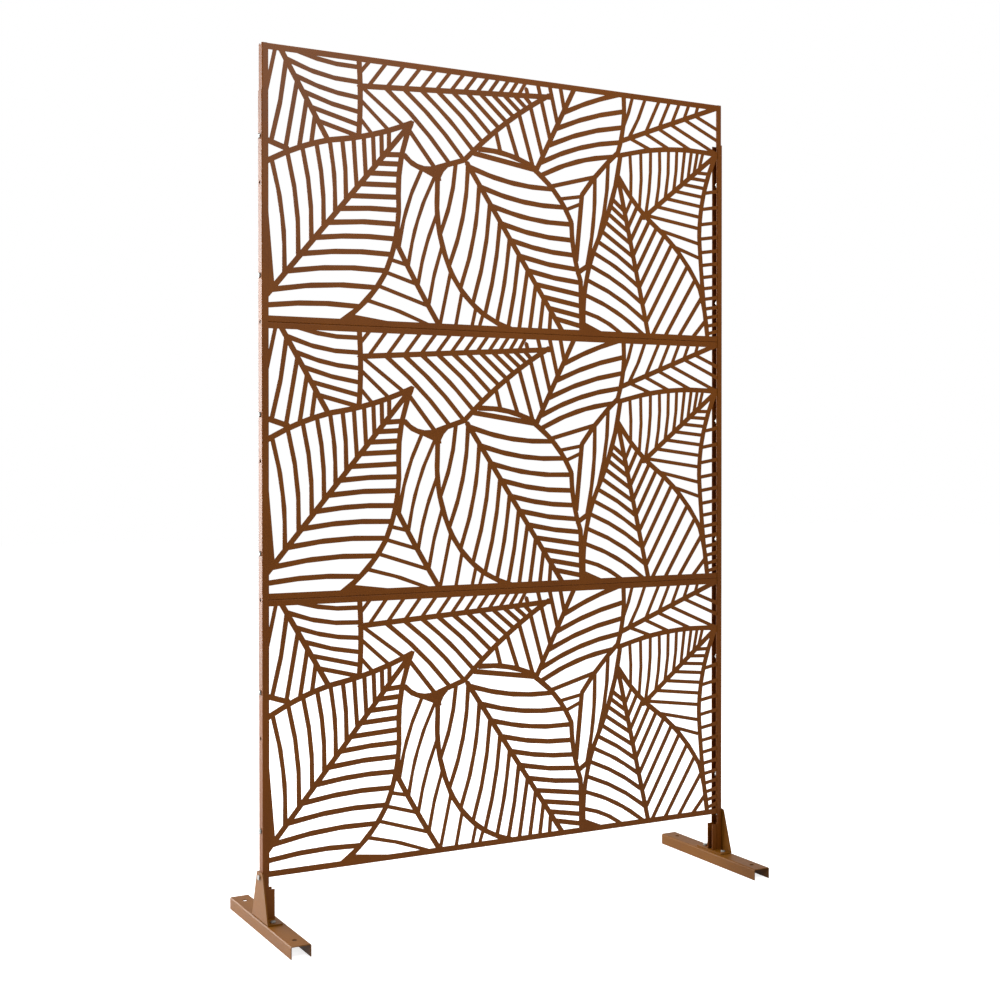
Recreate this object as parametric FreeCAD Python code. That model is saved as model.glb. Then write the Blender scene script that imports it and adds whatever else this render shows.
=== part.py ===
"""Free-standing outdoor privacy screen: three leaf-cut sheet panels bolted between two channel posts on feet."""
import FreeCAD
import Part
import math
import os

# Overall sizes, in millimetres. The origin is on the floor, under the middle of the screen; -Y is the front.
panel_width = 1215.6
panel_height = 603.25
ground_gap = 120.65
panel_names = ("bottom", "middle", "top")

# Panels: one sheet, its four edges folded back
sheet = 1.2
sheet_bend = 1.0
flange_depth = 22.0
flange_stop = 12.0
margin = 14.0
rib_width = 12.5
broad_vein = 12.0
middle_vein = 10.5
fine_vein = 9.0
vein_overrun = 45.0
straight_below = 2.0
least_opening = 3.0
cut_error = 1.0

# Posts: folded channels that hug the panels' sides
post_wall = 1.5
post_bend = 1.0
post_lip = 14.0
post_fit = 0.3
post_drop = 101.6
post_length = 609.6
post_names = ("upper", "middle", "lower")
spare_hole = 9.0

# Feet: inverted channels
foot_length = 406.4
foot_width = 45.0
foot_height = 26.5
foot_wall = 2.0
foot_bend = 1.5
foot_overhang = 5.0
anchor_hole = 11.0
anchor_inset = 40.0

# Brackets and the sockets that stand on them
plate = 3.0
plate_bend = 3.5
base_length = 105.0
base_width = 34.0
gusset_height = 106.0
gusset_top = 36.0
gusset_round = 8.0
foot_bolt_pitch = 76.0
socket_width = 26.0
socket_depth = 21.5
socket_wall = 2.0
socket_height = 65.0

# Fasteners
bolt = 6.0
bolt_fit = 0.8
head_across = 10.0
head_height = 4.0
nut_height = 5.0
nut_fit = 0.1
washer_across = 12.0
washer_thick = 1.2
bolt_end = 2.0
hexagon_sides = 6
round_sides = 12

# One overrun serves all cuts, and one small length tells touching from apart
overrun = 10.0
touch = 0.01

# Places up a panel's side, as shares of its height from its bottom edge
side_bolt_shares = (1 / 6, 2 / 3)
side_spare_shares = (0, 1 / 2)

# Places of the bolts along a panel joint, as shares of the panel's width from its middle
joint_bolt_shares = (-0.4, -0.14, 0.14, 0.4)

# The leaves' outlines and midribs. Places are thousandths of the panel's width from its left edge and of its
# height from its top edge. Two points are a straight stretch, three points an arc, and stretches follow on.
thousandth_share = 0.001
rib_shares = (
    # small leaf in the top left corner
    ((30, 0), (75, 155), (124, 325)),
    ((184, 0), (187, 125), (184, 295)),
    # large left leaf: top edge, stub to the left edge, midrib and right edge
    ((4, 429), (62, 369), (130, 323), (200, 293), (291, 226)),
    ((0, 342), (48, 373)),
    ((6, 908), (284, 240)),
    ((289, 230), (273, 325), (263, 500), (258, 660), (236, 800), (207, 885), (150, 985)),
    # low leaf between the two large ones
    ((258, 680), (291, 800), (347, 985)),
    ((310, 393), (330, 408), (347, 428)),
    ((362, 372), (346, 415), (343, 470), (344, 590), (358, 710), (389, 835), (500, 985)),
    # long leaf along the top
    ((275, 350), (295, 383), (345, 383), (380, 360), (400, 345)),
    ((185, 113), (590, 60)),
    ((400, 345), (470, 215), (585, 55)),
    # two slips that meet at the middle leaf's tip
    ((430, 297), (480, 302), (555, 350)),
    ((420, 315), (470, 332), (550, 353)),
    # large middle leaf: midrib and right edge
    ((405, 355), (615, 985)),
    ((545, 345), (605, 450), (636, 550), (640, 650), (657, 780)),
    ((657, 780), (659, 985)),
    # upright leaf right of the middle
    ((555, 360), (646, 0)),
    ((757, 0), (758, 120), (744, 250), (705, 325), (660, 435), (654, 570), (647, 700)),
    ((650, 748), (678, 712)),
    # large right leaf: left edge, midrib and right edge
    ((750, 262), (731, 440), (700, 600), (672, 760), (665, 985)),
    ((748, 380), (818, 985)),
    ((745, 345), (775, 425), (836, 537), (896, 644), (945, 780), (958, 880), (965, 985)),
    # two leaves in the top right corner, and the rail down the right edge
    ((745, 262), (820, 225), (985, 210)),
    ((805, 505), (985, 215)),
    ((752, 200), (990, 12)),
    ((988, 205), (951, 420), (944, 560), (950, 730), (965, 985)),
)

# Single veins: width, bow to the left of the vein as a share of its length, start, end
single_vein_shares = (
    (fine_vein, 0, (24, 20), (10, 150)),
    (middle_vein, -0.04, (75, 20), (180, 44)),
    (fine_vein, 0, (8, 610), (18, 850)),
    (broad_vein, 0.03, (8, 940), (190, 930)),
    (fine_vein, 0.02, (172, 966), (240, 984)),
    (fine_vein, 0, (443, 912), (432, 980)),
    (fine_vein, -0.04, (309, 405), (266, 670)),
    (middle_vein, 0, (595, 410), (690, 358)),
    (fine_vein, 0, (617, 457), (650, 445)),
    (fine_vein, 0, (626, 498), (652, 476)),
    (middle_vein, 0, (467, 222), (476, 290)),
    (fine_vein, 0, (764, 488), (776, 438)),
    (middle_vein, 0.03, (690, 360), (676, 680)),
    (middle_vein, 0.03, (721, 310), (706, 550)),
    (middle_vein, 0.045, (672, 838), (800, 975)),
    (middle_vein, 0.05, (672, 907), (750, 980)),
    (broad_vein, 0, (669, 957), (703, 986)),
    (fine_vein, 0, (852, 552), (938, 590)),
    (fine_vein, 0, (893, 620), (938, 648)),
    (fine_vein, 0.03, (779, 15), (760, 130)),
    (fine_vein, 0.03, (809, 20), (773, 175)),
    (fine_vein, 0, (916, 88), (990, 152)),
    (fine_vein, 0, (945, 68), (990, 105)),
    (fine_vein, 0, (205, 18), (192, 50)),
    (fine_vein, 0, (190, 240), (208, 280)),
    (fine_vein, 0, (190, 168), (239, 256)),
    (fine_vein, 0, (198, 127), (250, 205)),
    (middle_vein, 0, (300, 293), (332, 373)),
)

# Rows of veins: count, width, bow of the first and of the last, then the first, middle and last vein's ends
row_vein_shares = (
    # top left leaf, left and right of its midrib
    (5, middle_vein, 0.02, 0, ((43, 80), (18, 340)), ((83, 190), (70, 350)), ((113, 290), (112, 320))),
    (5, middle_vein, -0.05, 0, ((54, 55), (180, 99)), ((90, 167), (180, 208)), ((121, 267), (180, 297))),
    # large left leaf, left and right of its midrib
    (11, middle_vein, 0.04, 0, ((18, 420), (41, 815)), ((152, 324), (159, 500)), ((244, 280), (244, 320))),
    (11, broad_vein, 0, 0.035, ((243, 355), (263, 352)), ((147, 572), (257, 560)), ((14, 885), (218, 855))),
    # low leaf, left and right
    (4, fine_vein, 0, 0.025, ((250, 748), (275, 760)), ((236, 824), (306, 868)), ((205, 906), (325, 985))),
    (6, fine_vein, -0.04, 0, ((334, 435), (285, 735)), ((360, 740), (338, 930)), ((423, 920), (416, 980))),
    # large middle leaf, left and right of its midrib
    (11, middle_vein, 0.04, 0, ((381, 370), (351, 625)), ((496, 655), (470, 955)), ((588, 925), (586, 980))),
    (11, broad_vein, -0.05, 0, ((411, 370), (595, 423)), ((525, 700), (642, 734)), ((609, 940), (655, 960))),
    # upright leaf, left and right of its midrib
    (6, middle_vein, 0, 0, ((493, 190), (514, 310)), ((556, 95), (578, 258)), ((611, 20), (619, 100))),
    (5, broad_vein, 0.02, 0.05, ((633, 100), (735, 20)), ((600, 237), (755, 145)), ((566, 375), (735, 268))),
    # large right leaf, left and right of its midrib
    (9, middle_vein, 0, 0.04, ((736, 447), (756, 478)), ((711, 579), (775, 660)), ((677, 778), (806, 920))),
    (11, middle_vein, 0, 0, ((772, 535), (787, 475)), ((808, 845), (872, 615)), ((930, 980), (957, 920))),
    # lower leaf of the top right corner, above and below its midrib
    (3, fine_vein, 0.02, 0.03, ((773, 250), (775, 420)), ((799, 240), (796, 460)), ((823, 235), (812, 480))),
    (7, fine_vein, 0.035, 0, ((845, 230), (836, 450)), ((906, 230), (899, 345)), ((951, 225), (944, 275))),
    (7, fine_vein, 0, 0, ((947, 295), (965, 295)), ((888, 382), (948, 394)), ((822, 495), (939, 527))),
    # rungs between the rail and the right edge
    (13, fine_vein, 0, 0, ((958, 377), (990, 364)), ((948, 733), (990, 720)), ((964, 968), (990, 955))),
    # upper leaf of the top right corner, above and below its midrib
    (5, fine_vein, 0, 0, ((843, 20), (813, 145)), ((893, 20), (877, 93)), ((940, 20), (935, 50))),
    (4, fine_vein, 0, 0, ((780, 190), (812, 214)), ((833, 150), (894, 206)), ((881, 115), (990, 210))),
    # long leaf along the top, above and below its midrib
    (12, fine_vein, 0, 0, ((239, 15), (207, 100)), ((413, 15), (389, 77)), ((532, 18), (520, 59))),
    (11, middle_vein, 0.03, 0, ((243, 117), (366, 360)), ((410, 94), (470, 200)), ((535, 80), (540, 90))),
)

# Worked out from the sizes above
panel_top = ground_gap + panel_height * len(panel_names)
post_depth = flange_depth + 2 * post_fit + 2 * post_wall
post_inside = panel_width / 2 + post_fit
post_outside = post_inside + post_wall
post_top = panel_top - post_drop
base_bottom = foot_height
base_top = base_bottom + plate
gusset_outside = post_outside + plate
foot_middle = post_outside + foot_overhang - foot_width / 2
base_middle = gusset_outside - base_width / 2
flange_inside = panel_width / 2 - sheet
bolt_hole = bolt + bolt_fit

right = FreeCAD.Vector(1, 0, 0)
back = FreeCAD.Vector(0, 1, 0)
up = FreeCAD.Vector(0, 0, 1)
centre = FreeCAD.Vector(0, 0, 0)


def box(low_x, low_y, low_z, high_x, high_y, high_z):
    """A block between two corners."""
    low = FreeCAD.Vector(low_x, low_y, low_z)
    return Part.makeBox(high_x - low_x, high_y - low_y, high_z - low_z, low)


def rod(diameter, length, start, direction):
    """A round bar from its start along a direction."""
    return Part.makeCylinder(diameter / 2, length, start, direction)


def prism(across, sides, low, high):
    """An upright block with equal sides, between two heights."""
    reach = across / 2 / math.cos(math.pi / sides)
    corners = []
    for side in range(sides + 1):
        turn = 2 * math.pi * side / sides
        corners.append(FreeCAD.Vector(reach * math.cos(turn), reach * math.sin(turn), low))
    return Part.Face(Part.makePolygon(corners)).extrude(up * (high - low))


def put(shape, point, direction):
    """Turn an upright fastener along a direction and move it to a point."""
    shape.Placement = FreeCAD.Placement(point, FreeCAD.Rotation(up, direction))
    return shape


def hex_bolt(grip):
    """A bolt whose head bears on the origin; its shank passes up through the grip, a nut and a little more."""
    shank = prism(bolt, round_sides, 0, grip + nut_height + bolt_end)
    return prism(head_across, hexagon_sides, -head_height, 0).fuse(shank)


def hex_nut():
    """A nut that stands on the origin."""
    bore = prism(bolt + 2 * nut_fit, round_sides, -overrun, nut_height + overrun)
    return prism(head_across, hexagon_sides, 0, nut_height).cut(bore)


def flat_washer():
    """A washer that lies on the origin."""
    bore = prism(bolt + 2 * nut_fit, round_sides, -overrun, washer_thick + overrun)
    return prism(washer_across, round_sides, 0, washer_thick).cut(bore)


def channel(span, leg, wall, bend, length):
    """A folded channel standing on the origin: its web lies across X, and its two legs point along +Y."""
    outer = box(-span / 2, 0, 0, span / 2, leg, length)
    inner = box(wall - span / 2, wall, -overrun, span / 2 - wall, leg + overrun, length + overrun)
    body = outer.cut(inner)
    uprights = [edge for edge in body.Edges if edge.BoundBox.ZLength > length - touch]
    outer_folds = [edge for edge in uprights if edge.BoundBox.YMax < touch]
    inner_folds = [edge for edge in uprights if abs(edge.BoundBox.YMax - wall) < touch]
    return body.makeFillet(bend + wall, outer_folds).makeFillet(bend, inner_folds)


def place_on_panel(point):
    """A point of the leaf tables, on the panel's face with its lower edge on the floor."""
    across = (point[0] * thousandth_share - 1 / 2) * panel_width
    height = (1 - point[1] * thousandth_share) * panel_height
    return FreeCAD.Vector(across, 0, height)


def strip(start, middle, end, width, extra):
    """A flat strip with pointed ends, along an arc, or along a line where the three points nearly are one."""
    along = (end - start).normalize()
    bow = (middle - start).cross(along).Length
    half = width / 2
    if bow < straight_below:
        edge = along.cross(back) * half
        first = start - along * extra
        last = end + along * extra
        corners = [first - along * half, first + edge, last + edge, last + along * half, last - edge, first - edge]
        return Part.Face(Part.makePolygon(corners + corners[:1]))
    arc = Part.Arc(start, middle, end).toShape()
    circle = arc.Curve
    turn = extra / circle.Radius
    tip_turn = turn + half / circle.Radius
    first_tip = circle.value(arc.FirstParameter - tip_turn)
    last_tip = circle.value(arc.LastParameter + tip_turn)
    places = [circle.value(arc.FirstParameter - turn), middle, circle.value(arc.LastParameter + turn)]
    spokes = [(place - circle.Center).normalize() * half for place in places]
    outer = [place + spoke for place, spoke in zip(places, spokes)]
    inner = [place - spoke for place, spoke in zip(places, spokes)]
    edges = [
        Part.Arc(*outer).toShape(),
        Part.makeLine(outer[2], last_tip),
        Part.makeLine(last_tip, inner[2]),
        Part.Arc(*reversed(inner)).toShape(),
        Part.makeLine(inner[0], first_tip),
        Part.makeLine(first_tip, outer[0]),
    ]
    return Part.Face(Part.Wire(edges))


def ribs():
    """The strips of the leaves' outlines and midribs."""
    strips = []
    for stretch in rib_shares:
        points = [place_on_panel(point) for point in stretch]
        if len(points) == 2:
            points.insert(1, (points[0] + points[1]) / 2)
        for first in range(0, len(points) - 2, 2):
            strips.append(strip(*points[first:first + 3], rib_width, 0))
    return strips


def vein(width, bow_share, start, end):
    """One vein: its middle point and its strip."""
    first = place_on_panel(start)
    last = place_on_panel(end)
    along = last - first
    middle = (first + last) / 2 + along.cross(back) * bow_share
    return middle, strip(first, middle, last, width, vein_overrun)


def between(first, middle, last, share):
    """A point on the smooth curve through three points, at a share of the way."""
    first_part = (1 - share) * (1 - 2 * share)
    middle_part = 4 * share * (1 - share)
    last_part = share * (2 * share - 1)
    return tuple(a * first_part + b * middle_part + c * last_part for a, b, c in zip(first, middle, last))


def veins():
    """All veins, single ones and rows."""
    found = [vein(*single) for single in single_vein_shares]
    for count, width, first_bow, last_bow, first, middle, last in row_vein_shares:
        for number in range(count):
            share = number / (count - 1)
            bow = first_bow + (last_bow - first_bow) * share
            start = between(first[0], middle[0], last[0], share)
            end = between(first[1], middle[1], last[1], share)
            found.append(vein(width, bow, start, end))
    return found


def openings():
    """The cut-out pieces of sheet: the area inside the margin, parted by the ribs and then by each leaf's veins."""
    low = FreeCAD.Vector(margin - panel_width / 2, 0, margin)
    field = Part.makePlane(panel_width - 2 * margin, panel_height - 2 * margin, low, -back, right)
    all_veins = veins()
    found = []
    for cell in field.cut(ribs()).Faces:
        inside = [face for middle, face in all_veins if cell.isInside(middle, touch, True)]
        parts = cell.cut(inside).Faces if inside else [cell]
        found += [chorded(part) for part in parts if 2 * part.Area / part.Length > least_opening]
    return found


def chorded(face):
    """The same piece of sheet with a few straight chords in place of each arc, unless the chords would cross."""
    points = []
    for edge in face.OuterWire.OrderedEdges:
        run = edge.discretize(Deflection=cut_error)
        if run[0].distanceToPoint(edge.firstVertex(True).Point) > touch:
            run.reverse()
        points += run[:-1]
    outline = Part.Face(Part.makePolygon(points + points[:1]))
    return outline if outline.isValid() else face


def panel():
    """One panel with its lower edge on the floor: the cut sheet, its folded edges and the holes in its sides."""
    sides = channel(panel_width, flange_depth, sheet, sheet_bend, panel_height)
    ends = channel(panel_height, flange_depth, sheet, sheet_bend, panel_width - 2 * flange_stop)
    ends.rotate(centre, back, 90)
    ends.translate(right * (flange_stop - panel_width / 2) + up * (panel_height / 2))
    fold = sheet + sheet_bend
    reach = panel_width / 2 - flange_stop
    for low in (-overrun, panel_height - fold):
        sides = sides.cut(box(-reach, -overrun, low, reach, sheet + touch, low + fold + overrun))
    body = sides.fuse(ends)
    cuts = [opening.extrude(back * (sheet + 2 * overrun)) for opening in openings()]
    for cut in cuts:
        cut.translate(back * -overrun)
    for share in side_bolt_shares:
        cuts += side_holes(bolt_hole, share)
    for share in side_spare_shares + (1,):
        cuts += side_holes(spare_hole, share)
    for share in joint_bolt_shares:
        start = FreeCAD.Vector(share * panel_width, flange_depth / 2, -overrun)
        cuts.append(put(prism(bolt_hole, round_sides, 0, panel_height + 2 * overrun), start, up))
    body = body.cut(cuts).removeSplitter()
    body.translate(back * (-flange_depth / 2))
    return body


def side_holes(diameter, share):
    """Cuts for round holes through both side flanges, at a share of the panel's height."""
    found = []
    for edge in (-panel_width / 2, panel_width / 2):
        start = FreeCAD.Vector(edge - overrun, flange_depth / 2, share * panel_height)
        found.append(put(prism(diameter, round_sides, 0, 2 * overrun), start, right))
    return found


def side_heights(shares):
    """Heights above the floor of a set of places up every panel's side."""
    bottoms = [ground_gap + number * panel_height for number in range(len(panel_names))]
    return [bottom + share * panel_height for bottom in bottoms for share in shares]


def post(high, low):
    """One length of the right post, with its row of holes."""
    body = channel(post_depth, post_lip, post_wall, post_bend, high - low)
    body.rotate(centre, up, 90)
    body.translate(right * post_outside + up * low)
    cuts = []
    for diameter, shares in ((bolt_hole, side_bolt_shares), (spare_hole, side_spare_shares)):
        for height in side_heights(shares):
            start = FreeCAD.Vector(post_inside - overrun, 0, height)
            cuts.append(rod(diameter, post_wall + 2 * overrun, start, right))
    return body.cut(cuts)


def foot():
    """The right foot: a channel with its open side down and a ground-anchor hole near each end."""
    body = channel(foot_width, foot_height, foot_wall, foot_bend, foot_length)
    body.rotate(centre, right, -90)
    body.translate(FreeCAD.Vector(foot_middle, -foot_length / 2, foot_height))
    cuts = []
    for side in (-1, 1):
        anchor = FreeCAD.Vector(foot_middle, side * (foot_length / 2 - anchor_inset), -overrun)
        cuts.append(rod(anchor_hole, foot_height + 2 * overrun, anchor, up))
        fixing = FreeCAD.Vector(base_middle, side * foot_bolt_pitch / 2, -overrun)
        cuts.append(rod(bolt_hole, foot_height + 2 * overrun, fixing, up))
    return body.cut(cuts)


def bracket():
    """The right foot bracket: a base plate folded up into a tapered gusset."""
    base = box(gusset_outside - base_width, -base_length / 2, base_bottom, gusset_outside, base_length / 2, base_top)
    top = base_bottom + gusset_height
    corners = [
        FreeCAD.Vector(post_outside, -base_length / 2, base_bottom),
        FreeCAD.Vector(post_outside, -gusset_top / 2, top),
        FreeCAD.Vector(post_outside, gusset_top / 2, top),
        FreeCAD.Vector(post_outside, base_length / 2, base_bottom),
    ]
    gusset = Part.Face(Part.makePolygon(corners + corners[:1])).extrude(right * plate)
    crown = [edge for edge in gusset.Edges if edge.BoundBox.ZMin > top - touch and edge.BoundBox.YLength < touch]
    gusset = gusset.makeFillet(gusset_round, crown)
    body = base.fuse(gusset).removeSplitter()
    fold = [edge for edge in body.Edges if edge.BoundBox.XMin > gusset_outside - touch
            and edge.BoundBox.ZMax < base_bottom + touch]
    body = body.makeFillet(plate_bend, fold)
    start = FreeCAD.Vector(post_outside - overrun, 0, ground_gap)
    cuts = [rod(bolt_hole, plate + 2 * overrun, start, right)]
    for side in (-1, 1):
        fixing = FreeCAD.Vector(base_middle, side * foot_bolt_pitch / 2, base_bottom - overrun)
        cuts.append(rod(bolt_hole, plate + 2 * overrun, fixing, up))
    return body.cut(cuts)


def socket():
    """The right socket: a short square-edged tube that stands on the base inside the post."""
    outside = post_inside - post_fit
    half = socket_depth / 2
    top = base_top + socket_height
    inside = box(outside - socket_width + socket_wall, socket_wall - half, base_top - overrun,
                 outside - socket_wall, half - socket_wall, top + overrun)
    return box(outside - socket_width, -half, base_top, outside, half, top).cut(inside)


def side_fasteners():
    """Bolts, washers and nuts that hold the panels in the right post, heads outside."""
    grip = post_outside - flange_inside + washer_thick
    sets = {"post_bolts": [], "post_washers": [], "post_nuts": []}
    for height in side_heights(side_bolt_shares):
        sets["post_bolts"].append(put(hex_bolt(grip), FreeCAD.Vector(post_outside, 0, height), -right))
        sets["post_washers"].append(put(flat_washer(), FreeCAD.Vector(flange_inside, 0, height), -right))
        nut_place = FreeCAD.Vector(flange_inside - washer_thick, 0, height)
        sets["post_nuts"].append(put(hex_nut(), nut_place, -right))
    return sets


def bracket_fasteners():
    """The bolt through the right gusset's top, and the bolts that hold the bracket on the foot."""
    sets = {
        "bracket_bolt": [put(hex_bolt(gusset_outside - flange_inside),
                             FreeCAD.Vector(gusset_outside, 0, ground_gap), -right)],
        "bracket_nut": [put(hex_nut(), FreeCAD.Vector(flange_inside, 0, ground_gap), -right)],
        "foot_bolts": [],
        "foot_nuts": [],
    }
    for side in (-1, 1):
        top = FreeCAD.Vector(base_middle, side * foot_bolt_pitch / 2, base_top)
        under = FreeCAD.Vector(top.x, top.y, foot_height - foot_wall)
        sets["foot_bolts"].append(put(hex_bolt(plate + foot_wall), top, -up))
        sets["foot_nuts"].append(put(hex_nut(), under, -up))
    return sets


def joint_fasteners(height):
    """Bolts and nuts through the touching flanges of two panels."""
    sets = {"joint_bolts": [], "joint_nuts": []}
    for share in joint_bolt_shares:
        below = FreeCAD.Vector(share * panel_width, 0, height - sheet)
        sets["joint_bolts"].append(put(hex_bolt(2 * sheet), below, up))
        sets["joint_nuts"].append(put(hex_nut(), below + up * (2 * sheet), up))
    return sets


def right_side():
    """Every piece of the right side, by name."""
    pieces = {"foot": foot(), "bracket": bracket(), "socket": socket()}
    high = post_top
    for name in post_names:
        low = base_top if name == post_names[-1] else high - post_length
        pieces[name + "_post"] = post(high, low)
        high = low
    for sets in (side_fasteners(), bracket_fasteners()):
        for name, solids in sets.items():
            pieces[name] = Part.makeCompound(solids)
    return pieces


def screen():
    """Every piece of the screen, by name."""
    pieces = {}
    blank = panel()
    for number, name in enumerate(panel_names):
        pieces[name + "_panel"] = blank.translated(up * (ground_gap + number * panel_height))
    for number, name in ((1, "lower"), (2, "upper")):
        for group, solids in joint_fasteners(ground_gap + number * panel_height).items():
            pieces[name + "_" + group] = Part.makeCompound(solids)
    for name, shape in right_side().items():
        pieces["right_" + name] = shape
        pieces["left_" + name] = shape.mirror(centre, right)
    return pieces


os.makedirs("parts", exist_ok=True)
for name, shape in screen().items():
    shape.exportStep("parts/" + name + ".step")
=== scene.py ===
"""Dresses a free-standing leaf-cut metal privacy screen with its coat, sockets, fasteners and a studio."""
import math

import bmesh
import bpy
from mathutils import Matrix, Vector


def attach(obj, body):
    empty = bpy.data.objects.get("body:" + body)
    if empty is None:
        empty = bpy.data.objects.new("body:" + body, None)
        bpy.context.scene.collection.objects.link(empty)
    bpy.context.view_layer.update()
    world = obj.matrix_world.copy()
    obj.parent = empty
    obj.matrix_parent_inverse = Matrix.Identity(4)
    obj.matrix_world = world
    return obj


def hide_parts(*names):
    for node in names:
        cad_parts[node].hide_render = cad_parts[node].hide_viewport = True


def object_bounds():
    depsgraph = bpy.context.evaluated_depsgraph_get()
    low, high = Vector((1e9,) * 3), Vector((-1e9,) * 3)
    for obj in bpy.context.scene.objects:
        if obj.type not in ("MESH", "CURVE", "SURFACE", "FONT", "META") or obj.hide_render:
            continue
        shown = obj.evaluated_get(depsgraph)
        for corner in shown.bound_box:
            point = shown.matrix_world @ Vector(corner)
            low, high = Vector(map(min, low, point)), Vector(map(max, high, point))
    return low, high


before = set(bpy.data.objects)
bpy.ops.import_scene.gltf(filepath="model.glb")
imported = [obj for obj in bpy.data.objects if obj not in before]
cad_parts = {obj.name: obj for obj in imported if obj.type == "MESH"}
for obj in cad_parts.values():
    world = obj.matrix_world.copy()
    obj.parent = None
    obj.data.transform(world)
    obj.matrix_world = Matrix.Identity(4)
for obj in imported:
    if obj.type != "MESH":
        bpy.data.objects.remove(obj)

cad_low, cad_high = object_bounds()

bl_info = {
    "name": "Leaf Privacy Screen",
    "version": (1, 0, 0),
    "blender": (4, 5, 0),
    "location": "View3D > Sidebar > Screen",
    "description": "Finishes and fasteners of a leaf-cut metal privacy screen",
    "category": "Object",
}

SIDES = ("left", "right")
PANEL_NODES = ("top_panel", "middle_panel", "bottom_panel")
POST_NODES = tuple(f"{side}_{level}_post" for side in SIDES for level in ("upper", "middle", "lower"))
BRACKET_NODES = tuple(f"{side}_bracket" for side in SIDES)
FOOT_NODES = tuple(f"{side}_foot" for side in SIDES)
# How the coat on each group of pieces differs from the main colour, as shares of red, green and blue
PANEL_TINT = (1.0, 1.0, 1.0)
POST_TINT = (0.95, 0.95, 0.95)
# Painted light: the feet and the brackets on them get a paler, yellower copy of the coat for the strong lamp
# light on their sides
FOOT_PAINTED_LIGHT_TINT = (1.02, 1.28, 1.15)

# How many finer layers a sharp pattern and a soft one have
SHARP_DETAIL = 3.0
SOFT_DETAIL = 2.0
# What the grain and the clouds add to the coat's mottle, and where it turns from the shade to the colour
GRAIN_SHARE = 0.6
CLOUD_SHARE = 0.4
MOTTLE_START, MOTTLE_END = 0.38, 0.62
# Where the zinc turns from bright to dull
PATCH_START, PATCH_END = 0.42, 0.66
# How the patterns change the roughness: the coat's is lowered first, and the grain and the clouds add to it
COAT_ROUGHNESS_DROP = 0.05
COAT_ROUGHNESS_SWING = 0.06
PATCH_ROUGHNESS = 0.2
MARK_ROUGHNESS = 0.08

# Corners round heads and nuts, bolt shanks, nut bores and washers, and steps across a bevel and a fold
HEXAGON_CORNERS = 6
SHANK_CORNERS = 20
BORE_CORNERS = 24
WASHER_CORNERS = 32
BEVEL_STEPS = 2
FOLD_STEPS = 4
# Rings of thread on the shortest bolt
LEAST_THREADS = 2
# Depth of a thread as a share of its pitch, bores as shares of the thread, and a washer's rim of the chamfer
THREAD_DEPTH_SHARE = 0.54
NUT_BORE_SHARE = 1.02
WASHER_BORE_SHARE = 1.03
WASHER_RIM_SHARE = 0.25
# Corners closer than these, in metres, are one: in a carried-over solid, in a new piece and along an axis
SOLID_MERGE = 1e-6
PIECE_MERGE = 1e-7
SAME_LEVEL = 1e-9
# A face whose normal has more than this along an axis faces along it
FACES_ALONG = 0.5

WHITE = (1, 1, 1, 1)
# How far the floor lies below the feet, so that their edges don't flicker in it, in metres
FLOOR_DROP = 0.0005
SENSOR_WIDTH_MM = 36.0

# Soft lamps: place, point they face, width and height in metres, and power in watts
SOFT_BOXES = {
    "left_soft_box": ((-2.2, 1.0, 1.05), (-0.6, 0.0, 0.8), (1.4, 2.2), 82),
    "back_left_soft_box": ((-2.1, 3.6, 1.4), (-0.6, 0.0, 1.0), (2.0, 2.6), 180),
    "front_soft_box": ((0.1, -2.6, 2.9), (-0.4, 0.0, 1.6), (0.9, 0.9), 72),
    "top_soft_box": ((0.0, 0.8, 4.6), (0.0, 0.0, 0.5), (3.0, 3.0), 120),
}

# The socket's open side, towards the panels: 1 for +X and -1 for -X
SOCKET_OPENINGS = {"left_socket": 1, "right_socket": -1}


def directions(*kinds):
    """The direction of each group of fasteners, from pairs of a kind and the directions where it is used."""
    return {f"{place}_{kind}": direction for kind, places in kinds for place, direction in places.items()}


INWARDS = {"left": Vector((1, 0, 0)), "right": Vector((-1, 0, 0))}
DOWNWARDS = {side: Vector((0, 0, -1)) for side in SIDES}
UPWARDS = {joint: Vector((0, 0, 1)) for joint in ("upper", "lower")}

# Which way the bolts' shanks point, and which way washers and nuts were pushed on
BOLT_DIRECTIONS = directions(
    ("post_bolts", INWARDS), ("bracket_bolt", INWARDS), ("foot_bolts", DOWNWARDS), ("joint_bolts", UPWARDS))
WASHER_DIRECTIONS = directions(("post_washers", INWARDS))
NUT_DIRECTIONS = directions(
    ("post_nuts", INWARDS), ("bracket_nut", INWARDS), ("foot_nuts", DOWNWARDS), ("joint_nuts", UPWARDS))


class CoatSettings(bpy.types.PropertyGroup):
    """The brown powder coat."""
    colour: bpy.props.FloatVectorProperty(
        name="Coat colour", description="Main colour of the powder coat", subtype="COLOR",
        size=3, min=0, max=1, default=(0.140, 0.040, 0.0022))
    shade: bpy.props.FloatVectorProperty(
        name="Coat shade", description="Darker colour in the coat's fine mottle", subtype="COLOR",
        size=3, min=0, max=1, default=(0.108, 0.029, 0.0015))
    roughness: bpy.props.FloatProperty(
        name="Roughness", description="Softness of the coat's satin gloss", min=0, max=1, default=0.46)
    gloss: bpy.props.FloatProperty(
        name="Gloss", description="Strength of the coat's reflection", min=0, max=1, default=0.12)
    peel: bpy.props.FloatProperty(
        name="Peel size", description="Width of the small waves in the sprayed surface", unit="LENGTH",
        min=0.0005, max=0.01, default=0.0022)
    peel_depth: bpy.props.FloatProperty(
        name="Peel depth", description="Height of the small waves in the sprayed surface", unit="LENGTH",
        min=0, max=0.001, default=0.00006)
    cloud: bpy.props.FloatProperty(
        name="Cloud size", description="Width of the broad soft clouds in the colour", unit="LENGTH",
        min=0.01, max=1, default=0.16)


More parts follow.
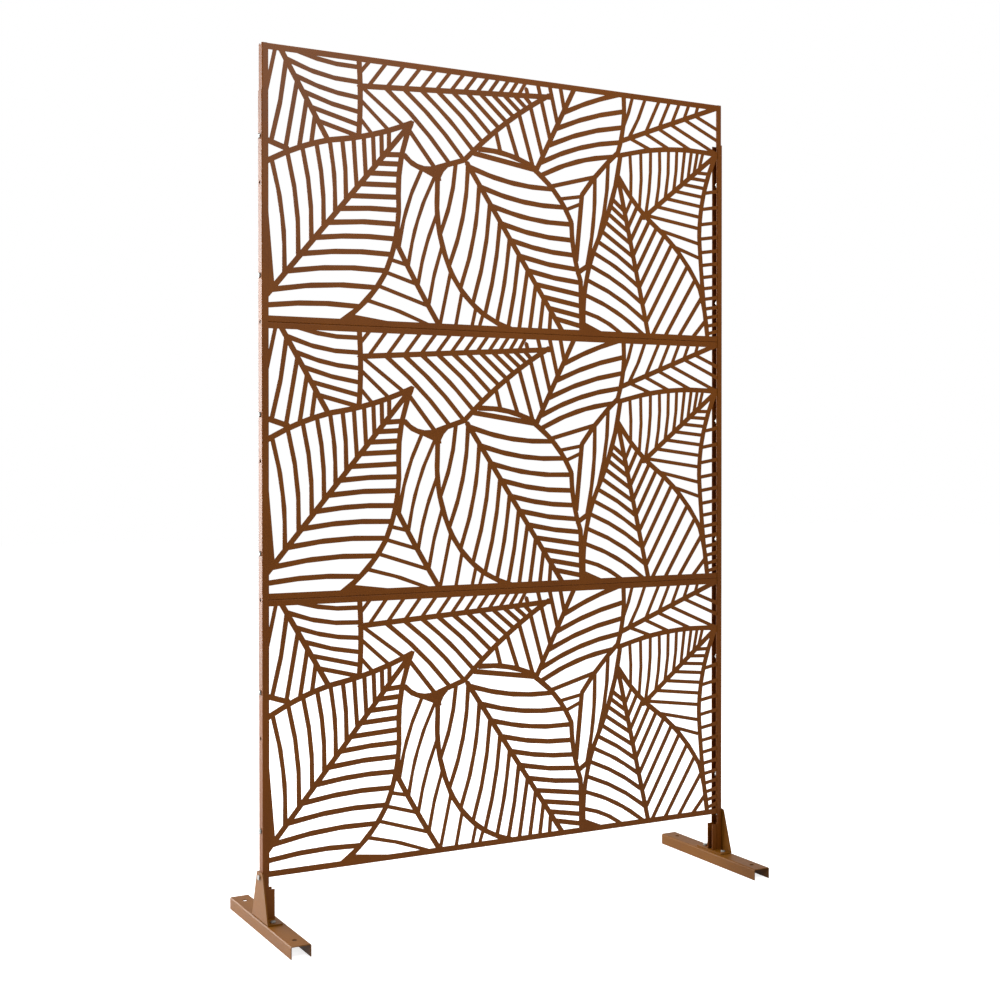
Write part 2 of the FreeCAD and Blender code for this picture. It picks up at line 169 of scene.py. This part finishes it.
class PlateSettings(bpy.types.PropertyGroup):
    """The bright zinc plate of bolts, nuts and washers."""
    colour: bpy.props.FloatVectorProperty(
        name="Zinc colour", description="Colour of the plated steel", subtype="COLOR",
        size=3, min=0, max=1, default=(0.30, 0.30, 0.29))
    dull: bpy.props.FloatVectorProperty(
        name="Dull zinc", description="Colour of the duller patches in the plate", subtype="COLOR",
        size=3, min=0, max=1, default=(0.15, 0.15, 0.145))
    roughness: bpy.props.FloatProperty(
        name="Roughness", description="Softness of the plate's shine", min=0, max=1, default=0.36)
    patch: bpy.props.FloatProperty(
        name="Patch size", description="Width of the duller patches in the plate", unit="LENGTH",
        min=0.0005, max=0.05, default=0.004)
    mark: bpy.props.FloatProperty(
        name="Mark size", description="Width of the fine turning marks", unit="LENGTH",
        min=0.0001, max=0.005, default=0.0004)
    mark_depth: bpy.props.FloatProperty(
        name="Mark depth", description="Depth of the fine turning marks", unit="LENGTH",
        min=0, max=0.0005, default=0.00001)


class SocketSettings(bpy.types.PropertyGroup):
    """The folded sheet of the sockets that stand in the posts."""
    wall: bpy.props.FloatProperty(
        name="Wall", description="Thickness of the folded sheet", unit="LENGTH",
        min=0.0005, max=0.005, default=0.002)
    bend: bpy.props.FloatProperty(
        name="Bend", description="Outer radius of the folds", unit="LENGTH",
        min=0.0005, max=0.008, default=0.0025)


class FastenerSettings(bpy.types.PropertyGroup):
    """Sizes of the bolts, nuts and washers."""
    thread: bpy.props.FloatProperty(
        name="Thread", description="Outer diameter of the thread", unit="LENGTH",
        min=0.002, max=0.02, default=0.006)
    pitch: bpy.props.FloatProperty(
        name="Pitch", description="Distance from one thread to the next", unit="LENGTH",
        min=0.0005, max=0.003, default=0.001)
    across: bpy.props.FloatProperty(
        name="Across flats", description="Width of heads and nuts over their flats", unit="LENGTH",
        min=0.004, max=0.03, default=0.010)
    head: bpy.props.FloatProperty(
        name="Head height", description="Height of a bolt's head", unit="LENGTH",
        min=0.001, max=0.02, default=0.004)
    washer: bpy.props.FloatProperty(
        name="Washer", description="Outer diameter of a washer", unit="LENGTH",
        min=0.004, max=0.04, default=0.012)
    chamfer: bpy.props.FloatProperty(
        name="Chamfer", description="Bevel on the rims of heads and nuts", unit="LENGTH",
        min=0.0001, max=0.002, default=0.0006)


class StudioSettings(bpy.types.PropertyGroup):
    """The floor, the lamps and the camera."""
    floor_size: bpy.props.FloatProperty(
        name="Floor size", description="Width of the studio floor", unit="LENGTH", min=2, max=100, default=30)
    floor_colour: bpy.props.FloatVectorProperty(
        name="Floor colour", description="Colour of the floor under the lamps", subtype="COLOR",
        size=3, min=0, max=1, default=(0.6, 0.6, 0.6))
    floor_glow: bpy.props.FloatProperty(
        name="Floor glow", description="White that the floor adds where the view sees it", min=0, max=1,
        default=0.82)
    world_light: bpy.props.FloatProperty(
        name="World light", description="Strength of the even light from all round", min=0, max=1,
        default=0.34)
    camera_place: bpy.props.FloatVectorProperty(
        name="Camera place", description="Where the camera stands", subtype="TRANSLATION", size=3,
        default=(-1.6773, -3.1741, 1.0368))
    camera_turn: bpy.props.FloatProperty(
        name="Camera turn", description="How far the camera looks to the right of straight back",
        subtype="ANGLE", default=math.radians(29.536))
    camera_tilt: bpy.props.FloatProperty(
        name="Camera tilt", description="How far the camera looks up", subtype="ANGLE",
        default=math.radians(-0.498))
    focal: bpy.props.FloatProperty(
        name="Focal length", description="The lens's focal length, in millimetres",
        min=10, max=300, default=54.581)
    shift: bpy.props.FloatVectorProperty(
        name="Shift", description="How far the picture is shifted in its frame", size=2,
        default=(-0.0534, -0.0310))


class Varied:
    """A number that varies over a surface. Arithmetic on it adds Math nodes."""

    def __init__(self, graph, socket):
        self.graph = graph
        self.socket = socket

    def maths(self, operation, first, second):
        made = self.graph.node("ShaderNodeMath", {"operation": operation}, {0: first, 1: second})
        return Varied(self.graph, made.outputs[0])

    def __add__(self, other):
        return self.maths("ADD", self, other)

    def __radd__(self, other):
        return self.maths("ADD", other, self)

    def __mul__(self, other):
        return self.maths("MULTIPLY", self, other)

    def __rmul__(self, other):
        return self.maths("MULTIPLY", other, self)


class Graph:
    """The nodes of one material or world."""

    def __init__(self, owner):
        owner.use_nodes = True
        self.tree = owner.node_tree
        self.tree.nodes.clear()

    def node(self, kind, settings, sockets):
        """One node: its settings are set first, then each socket gets a value or a link."""
        made = self.tree.nodes.new(kind)
        for name, value in settings.items():
            setattr(made, name, value)
        for name, value in sockets.items():
            if isinstance(value, Varied):
                value = value.socket
            if isinstance(value, bpy.types.NodeSocket):
                self.tree.links.new(value, made.inputs[name])
            else:
                made.inputs[name].default_value = value
        return made

    def place(self):
        """The surface's place in the object's own space, in metres."""
        return self.node("ShaderNodeTexCoord", {}, {}).outputs["Object"]

    def noise(self, size, detail, place):
        """Soft noise with grains of about a size in metres."""
        made = self.node("ShaderNodeTexNoise", {}, {"Vector": place, "Scale": 1 / size, "Detail": detail})
        return Varied(self, made.outputs[0])

    def step(self, value, low, high):
        """0 below low, 1 above high and smooth between."""
        made = self.node("ShaderNodeMapRange", {"interpolation_type": "SMOOTHSTEP"},
                         {"Value": value, "From Min": low, "From Max": high})
        return Varied(self, made.outputs[0])

    def blend(self, share, first, second):
        """A colour between two colours, which are a Mix node's inputs 6 and 7 and its output 2."""
        made = self.node("ShaderNodeMix", {"data_type": "RGBA"}, {0: share, 6: first, 7: second})
        return made.outputs[2]

    def bump(self, height, depth):
        """A normal bent by a height that is worth a depth in metres."""
        made = self.node("ShaderNodeBump", {}, {"Height": height, "Distance": depth, "Strength": 1.0})
        return made.outputs[0]

    def surface(self, shader):
        """The graph's end."""
        self.node("ShaderNodeOutputMaterial", {}, {"Surface": shader})


def opaque(colour):
    """A colour with full alpha."""
    return (*colour, 1.0)


def powder_coat(name, settings, tint):
    """Satin sprayed coat: a fine mottle, broad soft cloudiness and the small waves of baked powder."""
    material = bpy.data.materials.new(name)
    graph = Graph(material)
    place = graph.place()
    grain = graph.noise(settings.peel, SHARP_DETAIL, place)
    cloud = graph.noise(settings.cloud, SOFT_DETAIL, place)
    mottle = graph.step(grain * GRAIN_SHARE + cloud * CLOUD_SHARE, MOTTLE_START, MOTTLE_END)
    base = settings.roughness - COAT_ROUGHNESS_DROP
    light = [part * share for part, share in zip(settings.colour, tint)]
    dark = [part * share for part, share in zip(settings.shade, tint)]
    colour = graph.blend(mottle, opaque(dark), opaque(light))
    shader = graph.node("ShaderNodeBsdfPrincipled", {}, {
        "Base Color": colour,
        "Roughness": base + grain * COAT_ROUGHNESS_SWING + cloud * COAT_ROUGHNESS_SWING,
        "Specular IOR Level": settings.gloss,
        "Normal": graph.bump(grain, settings.peel_depth),
    })
    graph.surface(shader.outputs[0])
    return material


def zinc_plate(settings):
    """Bright plated steel with dull patches and fine turning marks."""
    material = bpy.data.materials.new("bright_zinc")
    graph = Graph(material)
    place = graph.place()
    patches = graph.step(graph.noise(settings.patch, SHARP_DETAIL, place), PATCH_START, PATCH_END)
    marks = graph.noise(settings.mark, SOFT_DETAIL, place)
    shader = graph.node("ShaderNodeBsdfPrincipled", {}, {
        "Base Color": graph.blend(patches, opaque(settings.colour), opaque(settings.dull)),
        "Metallic": 1.0,
        "Roughness": settings.roughness + patches * PATCH_ROUGHNESS + marks * MARK_ROUGHNESS,
        "Normal": graph.bump(marks, settings.mark_depth),
    })
    graph.surface(shader.outputs[0])
    return material


def dress(nodes, material):
    """Give carried-over pieces a finish."""
    for name in nodes:
        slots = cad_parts[name].data.materials
        slots.clear()
        slots.append(material)


def shells(node):
    """The lowest and highest corner of the box round each separate solid in a node."""
    work = bmesh.new()
    work.from_mesh(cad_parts[node].data)
    bmesh.ops.remove_doubles(work, verts=work.verts[:], dist=SOLID_MERGE)
    unseen = set(work.verts)
    found = []
    while unseen:
        waiting = [unseen.pop()]
        shell = []
        while waiting:
            vertex = waiting.pop()
            shell.append(vertex.co.copy())
            for edge in vertex.link_edges:
                other = edge.other_vert(vertex)
                if other in unseen:
                    unseen.remove(other)
                    waiting.append(other)
        low = Vector(min(point[axis] for point in shell) for axis in range(3))
        high = Vector(max(point[axis] for point in shell) for axis in range(3))
        found.append((low, high))
    work.free()
    return sorted(found, key=lambda corners: tuple(corners[0]))


def bevel_edges(work, edges, width, steps):
    """Round edges off."""
    bmesh.ops.bevel(work, geom=edges, offset=width, offset_type="OFFSET", affect="EDGES", segments=steps,
                    profile=0.5, material=-1)


def corner_reach(across):
    """From the middle of a hexagon to its corners, from its width over the flats."""
    return across / 2 / math.cos(math.pi / HEXAGON_CORNERS)


def hexagon_block(work, across, low, high, chamfer):
    """A six-sided block with bevelled rims, along Z."""
    reach = corner_reach(across)
    made = bmesh.ops.create_cone(work, cap_ends=True, segments=HEXAGON_CORNERS, radius1=reach, radius2=reach,
                                 depth=high - low, matrix=Matrix.Translation((0, 0, (low + high) / 2)))
    rims = {edge for vertex in made["verts"] for edge in vertex.link_edges
            if abs(edge.verts[0].co.z - edge.verts[1].co.z) < SAME_LEVEL}
    bevel_edges(work, list(rims), chamfer, BEVEL_STEPS)


def threaded_rod(work, diameter, pitch, low, high):
    """A round rod along Z with a ring of thread at every pitch."""
    crest = diameter / 2
    root = crest - pitch * THREAD_DEPTH_SHARE
    count = max(LEAST_THREADS, int((high - low) / pitch))
    step = (high - low) / count
    profile = [work.verts.new((0, 0, low)), work.verts.new((root, 0, low))]
    for number in range(count):
        profile.append(work.verts.new((crest, 0, low + step * (number + 0.5))))
        profile.append(work.verts.new((root, 0, low + step * (number + 1))))
    profile.append(work.verts.new((0, 0, high)))
    edges = [work.edges.new(pair) for pair in zip(profile, profile[1:])]
    bmesh.ops.spin(work, geom=profile + edges, cent=(0, 0, 0), axis=(0, 0, 1), angle=math.tau,
                   steps=SHANK_CORNERS, use_merge=True)


def hex_bolt(work, settings, length):
    """A bolt along Z whose head stands on the origin."""
    hexagon_block(work, settings.across, 0, settings.head, settings.chamfer)
    threaded_rod(work, settings.thread, settings.pitch, settings.head, length)


def closed_ring(work, loops):
    """A ring around Z. Its section goes through loops, each with a radius, a height and a corner count."""
    rings = []
    for radius, level, corners in loops:
        made = bmesh.ops.create_circle(work, segments=corners, radius=radius,
                                       matrix=Matrix.Translation((0, 0, level)))
        rings.append(list({edge for vertex in made["verts"] for edge in vertex.link_edges}))
    for first, second in zip(rings, rings[1:] + rings[:1]):
        bmesh.ops.bridge_loops(work, edges=first + second)


def hex_nut(work, settings, height):
    """A nut along Z that stands on the origin: a bevelled six-sided ring with a countersunk bore."""
    reach = corner_reach(settings.across)
    bore = settings.thread / 2 * NUT_BORE_SHARE
    rim = settings.chamfer
    outside = ((reach - rim, 0), (reach, rim), (reach, height - rim), (reach - rim, height))
    inside = ((bore + rim, height), (bore, height - rim), (bore, rim))
    closed_ring(work, [(bore + rim, 0, BORE_CORNERS)]
                + [(radius, level, HEXAGON_CORNERS) for radius, level in outside]
                + [(radius, level, BORE_CORNERS) for radius, level in inside])


def flat_washer(work, settings, height):
    """A washer along Z that lies on the origin, with bevelled outer rims."""
    bore = settings.thread / 2 * WASHER_BORE_SHARE
    reach = settings.washer / 2
    rim = settings.chamfer * WASHER_RIM_SHARE
    section = ((bore, 0), (reach - rim, 0), (reach, rim), (reach, height - rim), (reach - rim, height),
               (bore, height))
    closed_ring(work, [(radius, level, WASHER_CORNERS) for radius, level in section])


def stand(work, vertices, point, direction):
    """Turn new geometry from Z along a direction and move it to a point."""
    turn = direction.to_track_quat("Z", "Y").to_matrix().to_4x4()
    bmesh.ops.transform(work, matrix=Matrix.Translation(point) @ turn, verts=vertices)


def along(corners, direction):
    """The start point and the length of a solid along a direction, on its own middle line."""
    low, high = corners
    middle = (low + high) / 2
    length = abs((high - low).dot(direction))
    return middle - direction * (length / 2), length


def finish_piece(work, name, node, material):
    """Turn a mesh under construction into a piece that stands for a node."""
    bmesh.ops.remove_doubles(work, verts=work.verts[:], dist=PIECE_MERGE)
    bmesh.ops.recalc_face_normals(work, faces=work.faces[:])
    mesh = bpy.data.meshes.new(name)
    work.to_mesh(mesh)
    work.free()
    piece = bpy.data.objects.new(name, mesh)
    bpy.context.scene.collection.objects.link(piece)
    mesh.materials.append(material)
    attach(piece, "root")
    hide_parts(node)


def fit_group(node, direction, maker, settings, material):
    """Make a fastener in the place of each solid of a node."""
    work = bmesh.new()
    for corners in shells(node):
        start, length = along(corners, direction)
        before = set(work.verts)
        maker(work, settings, length)
        fresh = [vertex for vertex in work.verts if vertex not in before]
        stand(work, fresh, start, direction)
    finish_piece(work, node + "_made", node, material)


def folded_channel(work, low, high, opening, settings):
    """An upright channel of folded sheet between two corners, open at its ends and on one side along X."""
    size = Matrix.Diagonal((*(high - low), 1))
    bmesh.ops.create_cube(work, size=1, matrix=Matrix.Translation((low + high) / 2) @ size)
    gone = [face for face in work.faces
            if abs(face.normal.z) > FACES_ALONG or face.normal.x * opening > FACES_ALONG]
    bmesh.ops.delete(work, geom=gone, context="FACES")
    folds = [edge for edge in work.edges if len(edge.link_faces) == 2]
    bevel_edges(work, folds, settings.bend, FOLD_STEPS)
    bmesh.ops.solidify(work, geom=work.faces[:], thickness=settings.wall)


class SCREEN_OT_coat_panels(bpy.types.Operator):
    """Powder-coat the three leaf-cut panels"""
    bl_idname = "screen.coat_panels"
    bl_label = "Coat Panels"

    def execute(self, context):
        dress(PANEL_NODES, powder_coat("panel_powder_coat", context.scene.screen_coat, PANEL_TINT))
        return {"FINISHED"}


class SCREEN_OT_coat_posts(bpy.types.Operator):
    """Powder-coat the posts"""
    bl_idname = "screen.coat_posts"
    bl_label = "Coat Posts"

    def execute(self, context):
        dress(POST_NODES, powder_coat("post_powder_coat", context.scene.screen_coat, POST_TINT))
        return {"FINISHED"}


class SCREEN_OT_fold_sockets(bpy.types.Operator):
    """Fold the sockets that stand in the posts, and give them the posts' coat"""
    bl_idname = "screen.fold_sockets"
    bl_label = "Fold Sockets"

    def execute(self, context):
        coat = bpy.data.materials["post_powder_coat"]
        for node, opening in SOCKET_OPENINGS.items():
            work = bmesh.new()
            for low, high in shells(node):
                folded_channel(work, low, high, opening, context.scene.screen_sockets)
            finish_piece(work, node + "_made", node, coat)
        return {"FINISHED"}


class SCREEN_OT_coat_feet(bpy.types.Operator):
    """Powder-coat the feet and the brackets on them, with a paler, yellower copy of the coat that is painted
    light
    """
    bl_idname = "screen.coat_feet"
    bl_label = "Coat Feet and Brackets"

    def execute(self, context):
        coat = powder_coat("foot_coat_with_painted_light", context.scene.screen_coat, FOOT_PAINTED_LIGHT_TINT)
        dress(FOOT_NODES + BRACKET_NODES, coat)
        return {"FINISHED"}


class SCREEN_OT_fit_fasteners(bpy.types.Operator):
    """Make the bolts, washers and nuts with bevelled rims and real threads, and plate them"""
    bl_idname = "screen.fit_fasteners"
    bl_label = "Fit Bolts, Nuts and Washers"

    def execute(self, context):
        settings = context.scene.screen_fasteners
        zinc = zinc_plate(context.scene.screen_plate)
        fasteners = ((hex_bolt, BOLT_DIRECTIONS), (flat_washer, WASHER_DIRECTIONS), (hex_nut, NUT_DIRECTIONS))
        for maker, groups in fasteners:
            for node, direction in groups.items():
                fit_group(node, direction, maker, settings, zinc)
        return {"FINISHED"}


def white_for_view(graph):
    """1 for rays that should see the white studio: from the camera, off gloss and through glass."""
    path = graph.node("ShaderNodeLightPath", {}, {})
    rays = [Varied(graph, path.outputs[name]) for name in
            ("Is Camera Ray", "Is Glossy Ray", "Is Transmission Ray")]
    seen = rays[0] + rays[1] + rays[2]
    return Varied(graph, graph.node("ShaderNodeClamp", {}, {"Value": seen}).outputs[0])


def pale_floor(settings):
    """A plain pale floor that keeps the screen's soft shadow."""
    work = bmesh.new()
    bmesh.ops.create_grid(work, x_segments=1, y_segments=1, size=settings.floor_size / 2)
    mesh = bpy.data.meshes.new("studio_floor")
    work.to_mesh(mesh)
    work.free()
    floor = bpy.data.objects.new("studio_floor", mesh)
    bpy.context.scene.collection.objects.link(floor)
    floor.location.z = cad_low.z - FLOOR_DROP
    material = bpy.data.materials.new("pale_floor")
    graph = Graph(material)
    lit = graph.node("ShaderNodeBsdfDiffuse", {}, {"Color": opaque(settings.floor_colour)})
    strength = white_for_view(graph) * settings.floor_glow
    glow = graph.node("ShaderNodeEmission", {}, {"Color": WHITE, "Strength": strength})
    both = graph.node("ShaderNodeAddShader", {}, {0: lit.outputs[0], 1: glow.outputs[0]})
    graph.surface(both.outputs[0])
    mesh.materials.append(material)


def white_world(settings):
    """White where the view sees it, and an even soft light elsewhere."""
    world = bpy.data.worlds.new("white_studio")
    bpy.context.scene.world = world
    graph = Graph(world)
    strength = settings.world_light + white_for_view(graph) * (1 - settings.world_light)
    light = graph.node("ShaderNodeBackground", {}, {"Color": WHITE, "Strength": strength})
    graph.node("ShaderNodeOutputWorld", {}, {"Surface": light.outputs[0]})


def soft_box(name, place, target, size, power):
    """A broad soft lamp that faces a target."""
    lamp = bpy.data.lights.new(name, "AREA")
    lamp.shape = "RECTANGLE"
    lamp.size, lamp.size_y = size
    lamp.energy = power
    holder = bpy.data.objects.new(name, lamp)
    bpy.context.scene.collection.objects.link(holder)
    holder.location = place
    holder.rotation_euler = (Vector(target) - Vector(place)).to_track_quat("-Z", "Y").to_euler()


def camera_at_photo(settings):
    """The camera, where the photograph was taken from."""
    lens = bpy.data.cameras.new("photo_camera")
    lens.sensor_fit = "HORIZONTAL"
    lens.sensor_width = SENSOR_WIDTH_MM
    lens.lens = settings.focal
    lens.shift_x, lens.shift_y = settings.shift
    holder = bpy.data.objects.new("photo_camera", lens)
    bpy.context.scene.collection.objects.link(holder)
    holder.location = settings.camera_place
    holder.rotation_euler = (math.pi / 2 + settings.camera_tilt, 0, -settings.camera_turn)
    bpy.context.scene.camera = holder


class SCREEN_OT_set_stage(bpy.types.Operator):
    """Set up the floor, the soft light and the camera"""
    bl_idname = "screen.set_stage"
    bl_label = "Set Stage"

    def execute(self, context):
        settings = context.scene.screen_studio
        pale_floor(settings)
        white_world(settings)
        for name, (place, target, size, power) in SOFT_BOXES.items():
            soft_box(name, place, target, size, power)
        camera_at_photo(settings)
        context.scene.view_settings.view_transform = "Standard"
        return {"FINISHED"}


class SCREEN_PT_sidebar(bpy.types.Panel):
    """Sidebar with the screen's settings and steps"""
    bl_idname = "SCREEN_PT_sidebar"
    bl_label = "Leaf Privacy Screen"
    bl_space_type = "VIEW_3D"
    bl_region_type = "UI"
    bl_category = "Screen"

    def draw(self, context):
        for group in SETTINGS:
            settings = getattr(context.scene, group)
            box = self.layout.box()
            for name in settings.bl_rna.properties.keys():
                if name not in ("rna_type", "name"):
                    box.prop(settings, name)
        for operator in OPERATORS:
            self.layout.operator(operator.bl_idname)


SETTINGS = {
    "screen_coat": CoatSettings,
    "screen_plate": PlateSettings,
    "screen_sockets": SocketSettings,
    "screen_fasteners": FastenerSettings,
    "screen_studio": StudioSettings,
}
OPERATORS = (
    SCREEN_OT_coat_panels,
    SCREEN_OT_coat_posts,
    SCREEN_OT_fold_sockets,
    SCREEN_OT_coat_feet,
    SCREEN_OT_fit_fasteners,
    SCREEN_OT_set_stage,
)


def register():
    """Register the settings, the operators and the panel."""
    for name, group in SETTINGS.items():
        bpy.utils.register_class(group)
        setattr(bpy.types.Scene, name, bpy.props.PointerProperty(type=group))
    for operator in OPERATORS:
        bpy.utils.register_class(operator)
    bpy.utils.register_class(SCREEN_PT_sidebar)


def unregister():
    """Take everything out again, in reverse."""
    bpy.utils.unregister_class(SCREEN_PT_sidebar)
    for operator in reversed(OPERATORS):
        bpy.utils.unregister_class(operator)
    for name, group in reversed(SETTINGS.items()):
        delattr(bpy.types.Scene, name)
        bpy.utils.unregister_class(group)


def main():
    """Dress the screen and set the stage."""
    register()
    bpy.ops.screen.coat_panels()
    bpy.ops.screen.coat_posts()
    bpy.ops.screen.fold_sockets()
    bpy.ops.screen.coat_feet()
    bpy.ops.screen.fit_fasteners()
    bpy.ops.screen.set_stage()


if __name__ == "__main__":
    main()
